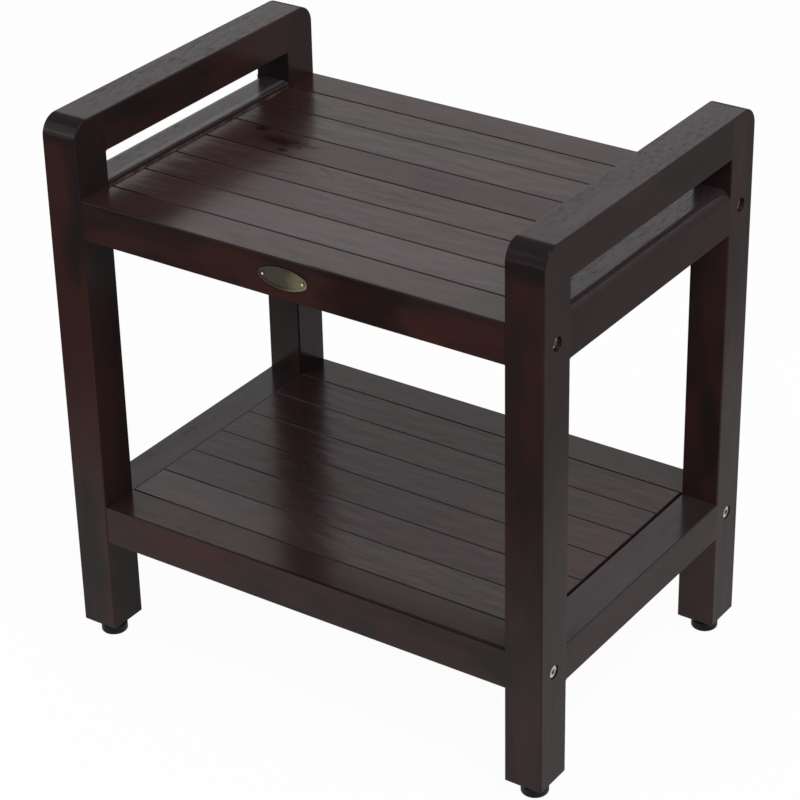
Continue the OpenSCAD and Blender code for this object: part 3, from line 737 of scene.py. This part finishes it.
def dress_wood():
    """Each stick of teak gets its own cut of wood."""
    seed = 0.0
    for leg, finish in LEGS.items():
        seed += SEED_STEP
        wood = teak(f"teak {leg}", "z", seed, pores=0.3, gloss=0.58, grey=0.8, **finish)
        assign(leg, wood)
    for rail, finish in SIDE_RAILS.items():
        for side in ("left", "right"):
            seed += SEED_STEP
            stick = f"{rail}_{side}"
            own = {**finish, **OWN_FINISHES.get(stick, {})}
            assign(stick, teak(f"teak {rail} {side}", "y", seed, red=0.1, grey=0.85, **own))
    for panel, (gloss, top_sheen_share) in PANELS.items():
        seed = dress_panel(panel, gloss, top_sheen_share, seed)


def dress_hardware():
    """The bolts, nuts, screws, inserts, feet, plate, pins and dowels."""
    steel = brushed_metal(*STEEL)
    for node in ("frame_bolts", "barrel_nuts", "seat_slat_screws", "shelf_slat_screws"):
        assign(node, steel)
    zinc = brushed_metal(*ZINC)
    rubber = moulded_rubber()
    for end in ("front", "rear"):
        for side in ("left", "right"):
            assign(f"foot_stud_{end}_{side}", zinc)
            assign(f"foot_pad_{end}_{side}", rubber)
    assign("leg_inserts", brushed_metal(*INSERT_BRASS))
    assign("badge_plate", aged_brass())
    assign("badge_pins", pin_brass())
    assign("rail_dowels", bare_beech())


# ---- Stage, light and camera ----

WHITE = (1.0, 1.0, 1.0)
PAPER = (0.8, 0.8, 0.8)
FLOOR_SIZE = 60.0
FLOOR_WHITE = 0.96
WORLD_LIGHT = 0.5

# Each softbox: its name, place, width in metres and power in watts, and where they all point
SOFTBOXES = (
    ("key", (1.6, -0.6, 2.6), 1.6, 55.0),
    ("fill", (-1.8, -1.6, 1.6), 1.6, 18.0),
)
LIT_SPOT = Vector((0.0, 0.0, 0.25))


def seen_directly(graph):
    """1 for rays that show the background: the camera's, and those gloss or glass sends on."""
    rays = graph.node("ShaderNodeLightPath").socket.node
    camera, glossy, through = [
        Wire(graph, rays.outputs[f"Is {kind} Ray"]) for kind in ("Camera", "Glossy", "Transmission")
    ]
    return camera.at_least(glossy).at_least(through)


def build_floor():
    mesh = bpy.data.meshes.new("floor")
    half = FLOOR_SIZE / 2
    corners = [(-half, -half, 0), (half, -half, 0), (half, half, 0), (-half, half, 0)]
    mesh.from_pydata(corners, [], [(0, 1, 2, 3)])
    floor = bpy.data.objects.new("floor", mesh)
    bpy.context.scene.collection.objects.link(floor)
    graph = material_graph("pale floor")
    paper = graph.node("ShaderNodeBsdfDiffuse", {"Color": PAPER})
    glow = graph.node("ShaderNodeEmission", {"Color": WHITE, "Strength": 1.0})
    shown = seen_directly(graph) * FLOOR_WHITE
    mixed = graph.node("ShaderNodeMixShader", [shown, paper, glow])
    graph.node("ShaderNodeOutputMaterial", {"Surface": mixed})
    mesh.materials.append(graph.owner)


def build_world():
    world = bpy.data.worlds.new("studio")
    bpy.context.scene.world = world
    graph = Graph(world)
    soft = graph.node("ShaderNodeBackground", {"Color": WHITE, "Strength": WORLD_LIGHT})
    white = graph.node("ShaderNodeBackground", {"Color": WHITE, "Strength": 1.0})
    mixed = graph.node("ShaderNodeMixShader", [seen_directly(graph), soft, white])
    graph.node("ShaderNodeOutputWorld", {"Surface": mixed})


def build_softbox(name, at, width, power):
    """A square area light that looks at the bench."""
    light = bpy.data.lights.new(name, "AREA")
    light.size = width
    light.energy = power
    lamp = bpy.data.objects.new(name, light)
    lamp.location = at
    lamp.rotation_mode = "QUATERNION"
    lamp.rotation_quaternion = (LIT_SPOT - Vector(at)).to_track_quat("-Z", "Y")
    bpy.context.scene.collection.objects.link(lamp)


def build_camera():
    data = bpy.data.cameras.new("camera")
    data.lens = CAMERA_LENS
    data.sensor_width = CAMERA_SENSOR
    data.clip_end = CAMERA_REACH
    camera = bpy.data.objects.new("camera", data)
    camera.rotation_mode = "QUATERNION"
    look = (CAMERA_AIM - CAMERA_AT).to_track_quat("-Z", "Y")
    roll = Matrix.Rotation(CAMERA_ROLL, 4, "Z").to_quaternion()
    camera.rotation_quaternion = look @ roll
    camera.location = CAMERA_AT
    bpy.context.scene.collection.objects.link(camera)
    bpy.context.scene.camera = camera


dress_wood()
dress_hardware()
build_floor()
build_world()
for box in SOFTBOXES:
    build_softbox(*box)
build_camera()
bpy.context.scene.view_settings.view_transform = "Standard"
